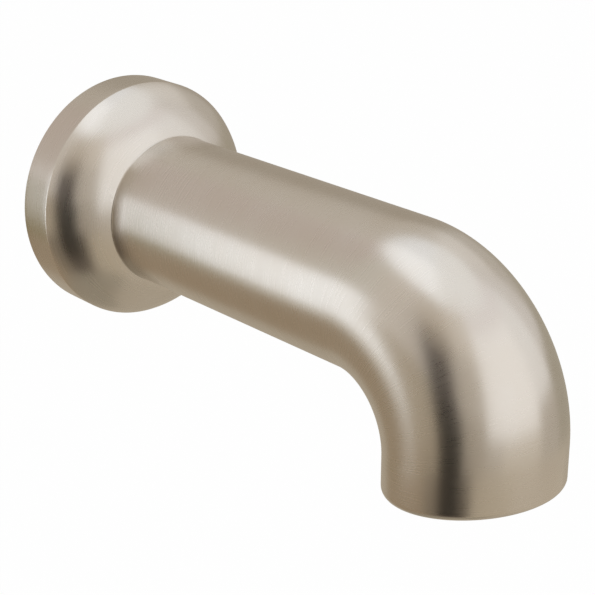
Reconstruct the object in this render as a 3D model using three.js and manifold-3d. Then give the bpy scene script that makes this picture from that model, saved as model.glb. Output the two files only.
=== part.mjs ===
// Wall mounted bath faucet: a dome-flanged, elbow-shaped bath spout that slides over a brass
// adapter on the supply pipe and is held by one set screw under the tube.
// Millimetres, +Z up. The wall is the plane Y = 0, and the tube runs out from it along -Y.
// The origin is the centre of the flange's back face.

import * as THREE from 'three';
import { mergeVertices } from 'three/addons/utils/BufferGeometryUtils.js';
import Module from 'manifold-3d';

const wasm = await Module();
wasm.setup();

// ---- Driving dimensions ---------------------------------------------------------------

// Gaps between neighbouring pieces
const seatGap = 0.3;
const slidingGap = 0.4;
const sealGap = 0.15;

// Flange, seen from the side: a rim, a dome, and a small fillet into the tube. A slope is
// the angle between a surface and the wall, so the rim's own slope is a right angle.
const flangeRadius = 38.1;
const rimWidth = 12.5;
const rimRounding = 1.2;
const rimBackChamfer = 0.4;
const domeEdgeSlope = THREE.MathUtils.degToRad(65);
const domeFootSlope = THREE.MathUtils.degToRad(24);
const footFillet = 1.2;

// Tube and shell
const tubeRadius = 23.5;
const wallThickness = 3.1;
const counterboreDepth = 0.5;

// Bend: how far its front stands from the wall, the tight curve underneath and the wide
// curve on top, and the straight drop from the tight curve to the mouth
const reach = 182.1;
const throatRadius = 15.2;
const crownRadius = 52.4;
const dropBelowThroat = 10.3;

// Mouth: the drop's radius, and the slope of the mouth, whose wall side hangs lower
const mouthRadius = 24.7;
const mouthSlope = THREE.MathUtils.degToRad(8.4);
const lipRounding = 2.6;

// Recess in the flange's back for the gasket against the wall
const gasketLandWidth = 3.5;
const gasketWidth = 3.0;
const gasketRecess = 1.8;

// Adapter on the supply pipe
const adapterSetback = 6;
const hexAcrossFlats = 27;
const hexLength = 16;
const stopRadius = 14;
const stopThickness = 3;
const spigotRadius = 11.2;
const spigotLength = 31;
const pipeThreadRadius = 9.6;
const pipeThreadDepth = 17;
const adapterBoreRadius = 6.5;

// Two seals in grooves on the spigot
const spigotGrooveDepth = 1.8;
const spigotGrooveWidth = 3;
const frontGrooveFromTip = 5;
const grooveSpacing = 6;

// Bushing inside the tube that takes the spigot
const bushingStandOff = 3;
const bushingWall = 3.4;
const bushingPastSpigot = 2;
const seatDiscThickness = 4;
const seatDiscRoof = 2;

// Nozzles that the waterway slips over, one on the bushing and one on the mouth collar
const nozzleBoreRadius = 7.6;
const nozzleWall = 2.6;
const nozzleLength = 8;
const nozzleGrooveDepth = 1.5;
const nozzleGrooveWidth = 2.2;

// Waterway between the two nozzles
const waterwayBoreRadius = 8;
const waterwayWall = 2;
const waterwayBendRadius = 24;
const waterwaySocketWall = 2.2;
const waterwayStepThickness = 2;

// Set screw under the tube
const setScrewRadius = 3;
const setScrewInset = 8;
const setScrewHeadRecess = 2;
const setScrewPointLength = 1;
const setScrewPointRadius = 2;
const setScrewBossRadius = 6;
const setScrewAccessGap = 0.6;
const hexKeyAcrossFlats = 3;
const hexKeyDepth = 3.5;

// Collar inside the mouth
const collarRecess = 5;
const collarWebThickness = 4;
const collarFitGap = 0.4;
const collarHubWall = 2.8;
const collarHubRoof = 1.8;

// Screw-in flow insert: housing, two screens round a honeycomb, and a seal on top
const insertRadius = 12.3;
const insertWall = 1.7;
const insertLipWidth = 0.9;
const insertLipThickness = 0.8;
const keyNotchWidth = 3;
const keyNotchDepth = 0.5;
const screenThickness = 0.4;
const honeycombThickness = 3;
const cellPitch = 2.6;
const cellWall = 0.5;
const discRimWidth = 0.8;
const screenWire = 1;
const insertSealThickness = 1.8;
const insertSealBoreRadius = 8.2;

// Facets on curved surfaces
const shellSegments = 48;
const turnedSegments = 24;
const sealSegments = 24;
const sealSectionSegments = 6;
const bendSteps = 14;
const domeSteps = 7;
const filletSteps = 4;
const rimRoundingSteps = 2;
const lipRoundingSteps = 3;
const waterwaySteps = 16;

// ---- Geometry helpers -----------------------------------------------------------------

// A closed solid of a geometry, keeping only its positions and dropping zero-width facets
function solidOf(geometry) {
  const bare = new THREE.BufferGeometry();
  bare.setAttribute('position', geometry.getAttribute('position'));
  if (geometry.index) bare.setIndex(geometry.index);
  const merged = mergeVertices(bare);
  const corners = merged.index.array;
  const facets = [];
  for (let i = 0; i < corners.length; i += 3) {
    const [a, b, c] = [corners[i], corners[i + 1], corners[i + 2]];
    if (a !== b && b !== c && c !== a) facets.push(a, b, c);
  }
  return new wasm.Manifold(new wasm.Mesh({
    numProp: 3,
    vertProperties: new Float32Array(merged.getAttribute('position').array),
    triVerts: new Uint32Array(facets),
  }));
}

// The geometry of a solid
function geometryOf(solid) {
  const mesh = solid.getMesh();
  const geometry = new THREE.BufferGeometry();
  geometry.setAttribute('position', new THREE.BufferAttribute(mesh.vertProperties, 3));
  geometry.setIndex(new THREE.BufferAttribute(mesh.triVerts, 1));
  geometry.computeVertexNormals();
  return geometry;
}

// One geometry with others joined to it
function join(base, ...others) {
  let solid = solidOf(base);
  for (const other of others) solid = solid.add(solidOf(other));
  return geometryOf(solid);
}

// One geometry with others cut out of it
function cut(base, ...tools) {
  let solid = solidOf(base);
  for (const tool of tools) solid = solid.subtract(solidOf(tool));
  return geometryOf(solid);
}

// A ring turned about the Y axis from a closed outline of [radius, y] corners
function turned(outline, segments = turnedSegments) {
  let area = 0;
  outline.forEach(([r, y], i) => {
    const [nextR, nextY] = outline[(i + 1) % outline.length];
    area += r * nextY - nextR * y;
  });
  const ordered = area > 0 ? outline : [...outline].reverse();
  const points = [...ordered, ordered[0]].map(([r, y]) => new THREE.Vector2(r, y));
  return new THREE.LatheGeometry(points, segments);
}

// A round rod along Y between two values of y
function rod(radius, y0, y1, segments = turnedSegments) {
  const geometry = new THREE.CylinderGeometry(radius, radius, Math.abs(y1 - y0), segments);
  return geometry.translate(0, (y0 + y1) / 2, 0);
}

// Turns a geometry made about the Y axis so that it stands on the Z axis
function upright(geometry) {
  return geometry.rotateX(Math.PI / 2);
}

// A seal ring about the Y axis, with a round section, centred on one value of y
function sealRing(outerRadius, innerRadius, y) {
  const sectionRadius = (outerRadius - innerRadius) / 2;
  const meanRadius = (outerRadius + innerRadius) / 2;
  const ring = new THREE.TorusGeometry(meanRadius, sectionRadius, sealSectionSegments, sealSegments);
  return ring.rotateX(Math.PI / 2).translate(0, y, 0);
}

// A section of the shell: an ellipse through its lowest and highest points, both in the
// plane X = 0, with its own half-width along X
function section(low, high, halfWidth) {
  return { low, high, halfWidth };
}

function upwardSection(radius, y) {
  return section([y, -radius], [y, radius], radius);
}

// The closed skin through a row of sections, capped at both ends
function skin(sections, segments = shellSegments) {
  const positions = [];
  const facets = [];
  for (const { low, high, halfWidth } of sections) {
    for (let i = 0; i < segments; i += 1) {
      const angle = (i / segments) * 2 * Math.PI;
      const height = (1 + Math.sin(angle)) / 2;
      const y = THREE.MathUtils.lerp(low[0], high[0], height);
      const z = THREE.MathUtils.lerp(low[1], high[1], height);
      positions.push(halfWidth * Math.cos(angle), y, z);
    }
  }
  const corner = (row, i) => row * segments + (i % segments);
  for (let row = 0; row < sections.length - 1; row += 1) {
    for (let i = 0; i < segments; i += 1) {
      facets.push(corner(row, i), corner(row, i + 1), corner(row + 1, i));
      facets.push(corner(row + 1, i), corner(row, i + 1), corner(row + 1, i + 1));
    }
  }
  const last = sections.length - 1;
  for (let i = 1; i < segments - 1; i += 1) {
    facets.push(corner(0, 0), corner(0, i + 1), corner(0, i));
    facets.push(corner(last, 0), corner(last, i), corner(last, i + 1));
  }
  const geometry = new THREE.BufferGeometry();
  geometry.setAttribute('position', new THREE.Float32BufferAttribute(positions, 3));
  geometry.setIndex(facets);
  geometry.computeVertexNormals();
  return geometry;
}

// Evenly spaced angles between two angles, both ends included
function spread(first, last, steps) {
  return Array.from({ length: steps + 1 }, (_, i) => THREE.MathUtils.lerp(first, last, i / steps));
}

function quarterTurn(steps) {
  return spread(0, Math.PI / 2, steps);
}

// A point of a turned curve where its surface has a slope, and the centre of that curve
function curvePoint([centreRadius, centreDepth], radius, slope) {
  return [centreRadius + radius * Math.sin(slope), centreDepth + radius * Math.cos(slope)];
}

function curveCentre(point, radius, slope) {
  return curvePoint(point, -radius, slope);
}

// ---- Places worked out from the dimensions --------------------------------------------

const boreRadius = tubeRadius - wallThickness;
const counterboreRadius = boreRadius + counterboreDepth;

// The flange's curves as [radius, distance from the wall]. The fillet's centre is outside
// the metal, so its radius counts as negative.
const rimEdge = [flangeRadius - rimRounding * (1 - Math.sin(domeEdgeSlope)), rimWidth];
const rimRoundingCentre = curveCentre(rimEdge, rimRounding, domeEdgeSlope);
const domeFootRadius = tubeRadius + footFillet * (1 - Math.sin(domeFootSlope));
const domeSlopeChange = Math.sin(domeEdgeSlope) - Math.sin(domeFootSlope);
const domeCurve = (rimEdge[0] - domeFootRadius) / domeSlopeChange;
const domeCentre = curveCentre(rimEdge, domeCurve, domeEdgeSlope);
const domeFoot = curvePoint(domeCentre, domeCurve, domeFootSlope);
const filletCentre = curveCentre(domeFoot, -footFillet, domeFootSlope);

const dropFrontY = -reach;
const dropCentreY = dropFrontY + mouthRadius;
const dropBackY = dropCentreY + mouthRadius;
const throatCentre = [dropBackY + throatRadius, -tubeRadius - throatRadius];
const crownCentre = [dropFrontY + crownRadius, tubeRadius - crownRadius];
const lipRise = mouthRadius * Math.tan(mouthSlope);
const mouthCentreZ = throatCentre[1] - dropBelowThroat + lipRise;

const hexFront = adapterSetback + hexLength;
const stopFront = hexFront + stopThickness;
const spigotTip = stopFront + spigotLength;
const spigotGrooveRadius = spigotRadius - spigotGrooveDepth;
const bushingBack = stopFront + bushingStandOff;
const bushingBoreRadius = spigotRadius + slidingGap;
const bushingRadius = bushingBoreRadius + bushingWall;
const bushingBoreEnd = spigotTip + bushingPastSpigot;
const bushingFace = bushingBoreEnd + seatDiscRoof;
const counterboreEnd = bushingFace + seatGap;
const nozzleRadius = nozzleBoreRadius + nozzleWall;
const nozzleGrooveRadius = nozzleRadius - nozzleGrooveDepth;
const socketBoreRadius = nozzleRadius + seatGap;
const socketRadius = socketBoreRadius + waterwaySocketWall;

const setScrewY = -(bushingBack + setScrewInset);
const setScrewTipZ = -(spigotRadius + seatGap);
const setScrewHeadZ = -(tubeRadius - setScrewHeadRecess);
const setScrewHoleRadius = setScrewRadius + seatGap;

// Heights in the outlet's own frame, whose Z axis points up the water's path
const collarFace = -collarWebThickness / 2;
const insertBase = collarFace;
const lowerScreenBase = insertBase + insertLipThickness + seatGap;
const honeycombBase = lowerScreenBase + screenThickness + seatGap;
const upperScreenBase = honeycombBase + honeycombThickness + seatGap;
const insertTop = upperScreenBase + screenThickness + seatGap;
const insertSealBase = insertTop + seatGap;
const collarShoulder = insertSealBase + insertSealThickness + seatGap;
const collarHubTop = collarShoulder + collarHubRoof;
const collarNozzleTop = collarHubTop + nozzleLength;
const collarBoreRadius = insertRadius + seatGap;
const insertBoreRadius = insertRadius - insertWall;
const discRadius = insertBoreRadius - seatGap;

// The outlet's frame sits on the middle of the drop, level with the collar's web
const outletRise = (collarRecess + collarWebThickness / 2) / Math.cos(mouthSlope);
const outletOrigin = new THREE.Vector3(0, dropCentreY, mouthCentreZ + outletRise);

const outletAxisY = dropCentreY - outletOrigin.z * Math.tan(mouthSlope);

function outletPoint(height) {
  const up = new THREE.Vector3(0, Math.sin(mouthSlope), Math.cos(mouthSlope));
  return outletOrigin.clone().addScaledVector(up, height);
}

// ---- Shell ----------------------------------------------------------------------------

// The tube's sections round the bend and down to the mouth, set in from the outside skin
function bendSections(inset) {
  const onArc = ([y, z], radius, angle) => [y - radius * Math.sin(angle), z + radius * Math.cos(angle)];
  return quarterTurn(bendSteps).map((angle, step) => {
    const low = onArc(throatCentre, throatRadius + inset, angle);
    const high = onArc(crownCentre, crownRadius - inset, angle);
    const halfWidth = THREE.MathUtils.lerp(tubeRadius, mouthRadius, step / bendSteps);
    return section(low, high, halfWidth - inset);
  });
}

function mouthSection(inset, rise) {
  const low = [dropBackY - inset, mouthCentreZ - lipRise + rise];
  const high = [dropFrontY + inset, mouthCentreZ + lipRise + rise];
  return section(low, high, mouthRadius - inset);
}

// Sections along a turned curve, from one slope to another
function turnedSections(centre, radius, slopes) {
  return slopes.map((slope) => {
    const [sectionRadius, depth] = curvePoint(centre, radius, slope);
    return upwardSection(sectionRadius, -depth);
  });
}

// The flange's dome and fillet, set in from the outside skin
function flareSections(inset, firstSlope) {
  const dome = spread(firstSlope, domeFootSlope, domeSteps);
  const fillet = spread(domeFootSlope, Math.PI / 2, filletSteps).slice(1);
  return [
    ...turnedSections(domeCentre, domeCurve - inset, dome),
    ...turnedSections(filletCentre, -footFillet - inset, fillet),
  ];
}

function shellOutside() {
  const rounding = spread(Math.PI / 2, domeEdgeSlope, rimRoundingSteps).slice(0, -1);
  const sections = [
    upwardSection(flangeRadius - rimBackChamfer, 0),
    upwardSection(flangeRadius, -rimBackChamfer),
    ...turnedSections(rimRoundingCentre, rimRounding, rounding),
    ...flareSections(0, domeEdgeSlope),
    ...bendSections(0),
  ];
  for (const angle of quarterTurn(lipRoundingSteps)) {
    const inset = lipRounding * (1 - Math.cos(angle));
    sections.push(mouthSection(inset, lipRounding * (1 - Math.sin(angle))));
  }
  return skin(sections);
}

// The hollow follows the outside one wall in: gasket recess, bell, counterbore, bore, bend
function shellHollow() {
  const recessRadius = flangeRadius - rimBackChamfer - gasketLandWidth;
  const bellRadius = recessRadius - gasketWidth - 2 * seatGap;
  const flareWall = tubeRadius - counterboreRadius;
  const bellSlope = Math.asin((bellRadius - domeCentre[0]) / (domeCurve - flareWall));
  const sections = [
    upwardSection(recessRadius, gasketRecess),
    upwardSection(recessRadius, -gasketRecess),
    upwardSection(bellRadius, -gasketRecess),
    ...flareSections(flareWall, bellSlope),
    upwardSection(counterboreRadius, -counterboreEnd),
    upwardSection(boreRadius, -counterboreEnd),
    ...bendSections(wallThickness),
    mouthSection(wallThickness, -lipRounding),
  ];
  return skin(sections);
}

function spoutBody() {
  const accessHole = upright(rod(setScrewRadius + setScrewAccessGap, -flangeRadius, 0));
  accessHole.translate(0, setScrewY, 0);
  return cut(shellOutside(), shellHollow(), accessHole);
}

function wallGasket() {
  const outer = flangeRadius - rimBackChamfer - gasketLandWidth - seatGap;
  const inner = outer - gasketWidth;
  const depth = gasketRecess - seatGap;
  return turned([[inner, 0], [outer, 0], [outer, -depth], [inner, -depth]], shellSegments);
}

// ---- Adapter on the supply pipe -------------------------------------------------------

function spigotGroovePlaces() {
  const front = -(spigotTip - frontGrooveFromTip);
  return [front + grooveSpacing, front];
}

function grooveTool(floorRadius, outerRadius, y, width) {
  const clear = outerRadius + seatGap;
  const half = width / 2;
  return turned([[floorRadius, y - half], [clear, y - half], [clear, y + half], [floorRadius, y + half]]);
}

function inletAdapter() {
  const hexCorner = hexAcrossFlats / 2 / Math.cos(Math.PI / 6);
  const hex = new THREE.CylinderGeometry(hexCorner, hexCorner, hexLength, 6);
  hex.translate(0, -(adapterSetback + hexLength / 2), 0);
  const stop = rod(stopRadius, -hexFront + seatGap, -stopFront);
  const spigot = rod(spigotRadius, -stopFront + seatGap, -spigotTip);
  const pipeThread = rod(pipeThreadRadius, 0, -adapterSetback - pipeThreadDepth);
  const bore = rod(adapterBoreRadius, 0, -spigotTip - seatGap);
  const grooves = spigotGroovePlaces().map(
    (y) => grooveTool(spigotGrooveRadius, spigotRadius, y, spigotGrooveWidth),
  );
  return cut(join(hex, stop, spigot), pipeThread, bore, ...grooves);
}

function spigotSeal(y) {
  return sealRing(bushingBoreRadius - seatGap, spigotGrooveRadius + seatGap, y);
}

// ---- Bushing, waterway and set screw --------------------------------------------------

// Groove and seal half way along a nozzle that starts at a face and points along direction,
// which is 1 or -1
function nozzleGroove(face, direction) {
  const middle = face + (direction * nozzleLength) / 2;
  return grooveTool(nozzleGrooveRadius, nozzleRadius, middle, nozzleGrooveWidth);
}

function nozzleSeal(face, direction) {
  const middle = face + (direction * nozzleLength) / 2;
  return sealRing(socketBoreRadius - sealGap, nozzleGrooveRadius + seatGap, middle);
}

function socketBushing() {
  const seatDiscRadius = counterboreRadius - seatGap;
  const discBack = bushingFace - seatDiscThickness;
  const sleeve = turned([
    [bushingBoreRadius, -bushingBack],
    [bushingRadius, -bushingBack],
    [bushingRadius, -discBack],
    [seatDiscRadius, -discBack],
    [seatDiscRadius, -bushingFace],
    [nozzleRadius, -bushingFace],
    [nozzleRadius, -bushingFace - nozzleLength],
    [nozzleBoreRadius, -bushingFace - nozzleLength],
    [nozzleBoreRadius, -bushingBoreEnd],
    [bushingBoreRadius, -bushingBoreEnd],
  ]);
  const bossReach = Math.sqrt(seatDiscRadius ** 2 - setScrewBossRadius ** 2);
  const boss = upright(rod(setScrewBossRadius, -bossReach, 0)).translate(0, setScrewY, 0);
  const bore = rod(bushingBoreRadius, -bushingBack + bushingStandOff, -bushingBoreEnd);
  const screwHole = upright(rod(setScrewHoleRadius, -tubeRadius, 0)).translate(0, setScrewY, 0);
  return cut(join(sleeve, boss), bore, screwHole, nozzleGroove(-bushingFace, -1));
}

// The waterway's middle line: out along the tube's axis, round one bend, and down the
// outlet's axis
class WaterwayLine extends THREE.Curve {
  constructor(start, corner, end, bendRadius) {
    super();
    const before = new THREE.Vector3().subVectors(corner, start).normalize();
    const after = new THREE.Vector3().subVectors(end, corner).normalize();
    const turn = before.angleTo(after);
    const tangentLength = bendRadius * Math.tan(turn / 2);
    this.start = start;
    this.before = before;
    this.after = after;
    this.turn = turn;
    this.bendRadius = bendRadius;
    this.bendStart = corner.clone().addScaledVector(before, -tangentLength);
    this.bendEnd = corner.clone().addScaledVector(after, tangentLength);
    this.toBendCentre = after.clone().addScaledVector(before, -after.dot(before)).normalize();
    this.lengths = [start.distanceTo(this.bendStart), bendRadius * turn, this.bendEnd.distanceTo(end)];
  }

  getPoint(share, target = new THREE.Vector3()) {
    const [straight, arc, drop] = this.lengths;
    const along = share * (straight + arc + drop);
    if (along <= straight) return target.copy(this.start).addScaledVector(this.before, along);
    if (along >= straight + arc) {
      return target.copy(this.bendEnd).addScaledVector(this.after, along - straight - arc);
    }
    const angle = (along - straight) / this.bendRadius;
    target.copy(this.bendStart).addScaledVector(this.before, this.bendRadius * Math.sin(angle));
    return target.addScaledVector(this.toBendCentre, this.bendRadius * (1 - Math.cos(angle)));
  }
}

function pipeAlong(line, radius) {
  const circle = new THREE.Shape().absarc(0, 0, radius, 0, 2 * Math.PI);
  return new THREE.ExtrudeGeometry(circle, {
    steps: waterwaySteps,
    curveSegments: turnedSegments / 2,
    extrudePath: line,
  });
}

// Rods on the tube's axis, at distances from the wall, and on the outlet's axis
function tubeRod(radius, from, to) {
  return rod(radius, -from, -to);
}

function outletRod(radius, from, to) {
  return upright(rod(radius, from, to)).rotateX(-mouthSlope).translate(...outletOrigin.toArray());
}

function waterwayElbow() {
  const corner = new THREE.Vector3(0, outletAxisY, 0);
  const socketDepth = nozzleLength + seatGap;
  const lineFrom = (end) => {
    const rear = new THREE.Vector3(0, -bushingFace - end, 0);
    return new WaterwayLine(rear, corner, outletPoint(collarHubTop + end), waterwayBendRadius);
  };
  const outside = join(
    pipeAlong(lineFrom(nozzleLength), waterwayBoreRadius + waterwayWall),
    tubeRod(socketRadius, bushingFace + seatGap, bushingFace + socketDepth + waterwayStepThickness),
    outletRod(socketRadius, collarHubTop + seatGap, collarHubTop + socketDepth + waterwayStepThickness),
  );
  return cut(
    outside,
    pipeAlong(lineFrom(0), waterwayBoreRadius),
    tubeRod(socketBoreRadius, bushingFace, bushingFace + socketDepth),
    outletRod(socketBoreRadius, collarHubTop, collarHubTop + socketDepth),
  );
}

function setScrew() {
  const shank = new THREE.LatheGeometry([
    new THREE.Vector2(0, setScrewHeadZ),
    new THREE.Vector2(setScrewRadius, setScrewHeadZ),
    new THREE.Vector2(setScrewRadius, setScrewTipZ - setScrewPointLength),
    new THREE.Vector2(setScrewPointRadius, setScrewTipZ),
    new THREE.Vector2(0, setScrewTipZ),
  ], sealSegments);
  const keyCorner = hexKeyAcrossFlats / 2 / Math.cos(Math.PI / 6);
  const keySocket = new THREE.CylinderGeometry(keyCorner, keyCorner, 2 * hexKeyDepth, 6);
  keySocket.translate(0, setScrewHeadZ, 0);
  return upright(cut(shank, keySocket));
}

// ---- Outlet pieces, made about the outlet's own axis ----------------------------------

function mouthCollar() {
  const webRadius = mouthRadius - wallThickness - collarFitGap;
  const hubRadius = collarBoreRadius + collarHubWall;
  const ring = turned([
    [collarBoreRadius, collarFace],
    [webRadius, collarFace],
    [webRadius, collarFace + collarWebThickness],
    [hubRadius, collarFace + collarWebThickness],
    [hubRadius, collarHubTop],
    [nozzleRadius, collarHubTop],
    [nozzleRadius, collarNozzleTop],
    [nozzleBoreRadius, collarNozzleTop],
    [nozzleBoreRadius, collarShoulder],
    [collarBoreRadius, collarShoulder],
  ]);
  return upright(cut(ring, nozzleGroove(collarHubTop, 1)));
}

function insertHousing() {
  const lipRadius = insertBoreRadius - insertLipWidth;
  const lipTop = insertBase + insertLipThickness;
  const cup = turned([
    [lipRadius, insertBase],
    [insertRadius, insertBase],
    [insertRadius, insertTop],
    [insertBoreRadius, insertTop],
    [insertBoreRadius, lipTop],
    [lipRadius, lipTop],
  ]);
  const notch = new THREE.BoxGeometry(2 * flangeRadius, 2 * keyNotchDepth, keyNotchWidth);
  return upright(cut(cup, notch.translate(0, insertBase, 0)));
}

// Centres of the hexagonal field of cells that fits inside a disc's rim
function cellCentres() {
  const fieldRadius = discRadius - discRimWidth - (cellPitch - cellWall) / Math.sqrt(3);
  const cellRings = Math.floor(fieldRadius / cellPitch);
  const centres = [];
  for (let row = -cellRings; row <= cellRings; row += 1) {
    const count = 2 * cellRings + 1 - Math.abs(row);
    for (let i = 0; i < count; i += 1) {
      centres.push([(i - (count - 1) / 2) * cellPitch, row * cellPitch * Math.sin(Math.PI / 3)]);
    }
  }
  return centres;
}

// A six-sided hole with its points at top and bottom
function cellAt([x, y], radius) {
  const corners = [];
  for (let i = 0; i < 6; i += 1) {
    const angle = ((i + 0.5) / 6) * 2 * Math.PI;
    corners.push(new THREE.Vector2(x + radius * Math.cos(angle), y + radius * Math.sin(angle)));
  }
  return new THREE.Path(corners);
}

function piercedDisc(base, thickness, cellWidth) {
  const disc = new THREE.Shape().absarc(0, 0, discRadius, 0, 2 * Math.PI);
  disc.holes = cellCentres().map((centre) => cellAt(centre, cellWidth / Math.sqrt(3)));
  const geometry = new THREE.ExtrudeGeometry(disc, {
    depth: thickness,
    bevelEnabled: false,
    curveSegments: sealSegments / 2,
  });
  return geometry.translate(0, 0, base);
}

function honeycomb() {
  return piercedDisc(honeycombBase, honeycombThickness, cellPitch - cellWall);
}

function screen(base) {
  return piercedDisc(base, screenThickness, cellPitch - screenWire);
}

function insertSeal() {
  return upright(turned([
    [insertSealBoreRadius, insertSealBase],
    [insertRadius, insertSealBase],
    [insertRadius, insertSealBase + insertSealThickness],
    [insertSealBoreRadius, insertSealBase + insertSealThickness],
  ]));
}

// ---- Materials ------------------------------------------------------------------------

const brushedNickel = { color: 0xada295, roughness: 0.32, metalness: 1 };
const machinedBrass = { color: 0xc9a35c, roughness: 0.35, metalness: 1 };
const blackSteel = { color: 0x34322f, roughness: 0.5, metalness: 1 };
const stainlessMesh = { color: 0xb9b8b4, roughness: 0.4, metalness: 1 };
const blackRubber = { color: 0x1d1d1e, roughness: 0.8, metalness: 0 };
const greyFoam = { color: 0x55565a, roughness: 0.95, metalness: 0 };
const greyPolymer = { color: 0x8b9094, roughness: 0.5, metalness: 0 };
const whitePolymer = { color: 0xe9e8e2, roughness: 0.45, metalness: 0 };

function piece(name, geometry, finish) {
  const mesh = new THREE.Mesh(geometry, new THREE.MeshStandardMaterial(finish));
  mesh.name = name;
  return mesh;
}

// ---- Assembly -------------------------------------------------------------------------

const faucet = new THREE.Group();

const [rearGrooveY, frontGrooveY] = spigotGroovePlaces();
faucet.add(
  piece('spout_body', spoutBody(), brushedNickel),
  piece('wall_gasket', wallGasket(), greyFoam),
  piece('inlet_adapter', inletAdapter(), machinedBrass),
  piece('adapter_o_ring_rear', spigotSeal(rearGrooveY), blackRubber),
  piece('adapter_o_ring_front', spigotSeal(frontGrooveY), blackRubber),
  piece('socket_bushing', socketBushing(), machinedBrass),
  piece('bushing_o_ring', nozzleSeal(-bushingFace, -1), blackRubber),
  piece('waterway_elbow', waterwayElbow(), greyPolymer),
);

const screw = piece('set_screw', setScrew(), blackSteel);
screw.position.y = setScrewY;
faucet.add(screw);

const outlet = new THREE.Group();
outlet.position.copy(outletOrigin);
outlet.rotation.x = -mouthSlope;
outlet.add(
  piece('collar_o_ring', upright(nozzleSeal(collarHubTop, 1)), blackRubber),
  piece('mouth_collar', mouthCollar(), machinedBrass),
  piece('insert_seal_washer', insertSeal(), blackRubber),
  piece('insert_housing', insertHousing(), whitePolymer),
  piece('upper_screen', screen(upperScreenBase), stainlessMesh),
  piece('straightener_core', honeycomb(), whitePolymer),
  piece('lower_screen', screen(lowerScreenBase), stainlessMesh),
);
faucet.add(outlet);

export default faucet;
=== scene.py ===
# %% [markdown]
# # Dressing a wall mounted bath faucet
#
# The faucet is an elbow-shaped bath spout. A round flange stands against the wall, a tube
# runs out from it, and the tube's end turns down into a round mouth. All of that is one
# casting in warm satin nickel. Inside are the pieces that make it work: a brass adapter on
# the supply pipe, its seals, a bushing, a plastic waterway, a collar in the mouth and a
# screw-in insert that straightens the water.
#
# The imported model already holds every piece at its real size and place. This lesson gives
# each piece its fine surface: smooth curves, rounded edges, threads, wire mesh, and a finish
# that is made by shader nodes alone.

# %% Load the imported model
import math

import bmesh
import bpy
from mathutils import Matrix, Vector


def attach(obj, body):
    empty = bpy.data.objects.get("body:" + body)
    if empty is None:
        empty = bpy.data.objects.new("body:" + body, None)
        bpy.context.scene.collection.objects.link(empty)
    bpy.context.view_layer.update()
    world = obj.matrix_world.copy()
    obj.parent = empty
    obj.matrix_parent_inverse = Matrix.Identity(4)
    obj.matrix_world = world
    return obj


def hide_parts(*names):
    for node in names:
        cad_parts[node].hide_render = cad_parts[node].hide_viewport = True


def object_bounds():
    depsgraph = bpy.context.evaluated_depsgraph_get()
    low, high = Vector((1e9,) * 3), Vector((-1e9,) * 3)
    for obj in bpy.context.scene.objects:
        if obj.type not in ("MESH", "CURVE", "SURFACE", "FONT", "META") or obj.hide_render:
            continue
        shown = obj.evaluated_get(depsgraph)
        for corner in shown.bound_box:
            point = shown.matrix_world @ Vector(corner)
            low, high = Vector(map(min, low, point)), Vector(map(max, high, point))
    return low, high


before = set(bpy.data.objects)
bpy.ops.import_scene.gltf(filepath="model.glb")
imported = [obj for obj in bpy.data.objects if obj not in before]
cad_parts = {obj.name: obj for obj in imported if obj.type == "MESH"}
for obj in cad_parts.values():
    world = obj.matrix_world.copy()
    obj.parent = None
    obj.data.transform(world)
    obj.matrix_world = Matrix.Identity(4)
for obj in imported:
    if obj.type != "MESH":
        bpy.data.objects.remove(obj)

cad_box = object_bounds()
print("the model's box in metres:", [tuple(round(x, 4) for x in corner) for corner in cad_box])

# %% [markdown]
# ## From a bmesh to a piece
#
# Every piece is built in millimetres, because drawings of small fittings are, and is turned
# into metres at the very end. Its object stays at the origin, so its place is in its mesh.
#
# Flat shading would show each facet and plain smooth shading would round off real corners.
# So all faces are smooth, and edges where the surface turns sharply are marked sharp.
#
# Three small lengths say when points count as one, when a face is too thin to keep, and how
# far a cutter runs past the face that it cuts, so that no skin is left over the hole.

# %% Finish a piece
MM = 0.001
SAME_PLACE, SLIVER, PAST = 1e-4, 1e-5, 1.0


def closed(bm):
    """Merges doubled points and turns all faces outwards."""
    bmesh.ops.remove_doubles(bm, verts=bm.verts, dist=SAME_PLACE)
    bmesh.ops.dissolve_degenerate(bm, edges=bm.edges, dist=SLIVER)
    bmesh.ops.recalc_face_normals(bm, faces=bm.faces)
    return bm


def object_from(bm, name):
    """A linked object whose mesh is the bmesh, and the bmesh is freed."""
    mesh = bpy.data.meshes.new(name)
    bm.to_mesh(mesh)
    bm.free()
    made = bpy.data.objects.new(name, mesh)
    bpy.context.scene.collection.objects.link(made)
    return made


def finish_piece(bm, name, node, body, material, sharper_than=32):
    """Turns a bmesh in millimetres into a smooth piece that stands for a CAD node."""
    bmesh.ops.scale(bm, vec=(MM, MM, MM), verts=bm.verts)
    made = object_from(bm, name)
    made.data.shade_smooth()
    made.data.set_sharp_from_angle(angle=math.radians(sharper_than))
    made.data.materials.append(material)
    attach(made, body)
    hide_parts(node)
    triangles = sum(len(polygon.vertices) - 2 for polygon in made.data.polygons)
    print(f"{name}: {triangles} triangles, on {body}")


# %% [markdown]
# ## Turning, sweeping, rounding and carving
#
# Most of these parts come off a lathe, so their meshes do too: `spin` turns an outline round
# an axis. `bevel` rounds edges, because no machined or cast edge is perfectly sharp, and that
# small round is what catches the light. Holes that cross a surface at an angle are cut with
# the Boolean modifier, which copes with any crossing.

# %% Shape helpers
FULL_TURN = 2 * math.pi
X_AXIS, Y_AXIS, Z_AXIS = Vector((1, 0, 0)), Vector((0, 1, 0)), Vector((0, 0, 1))


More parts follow.
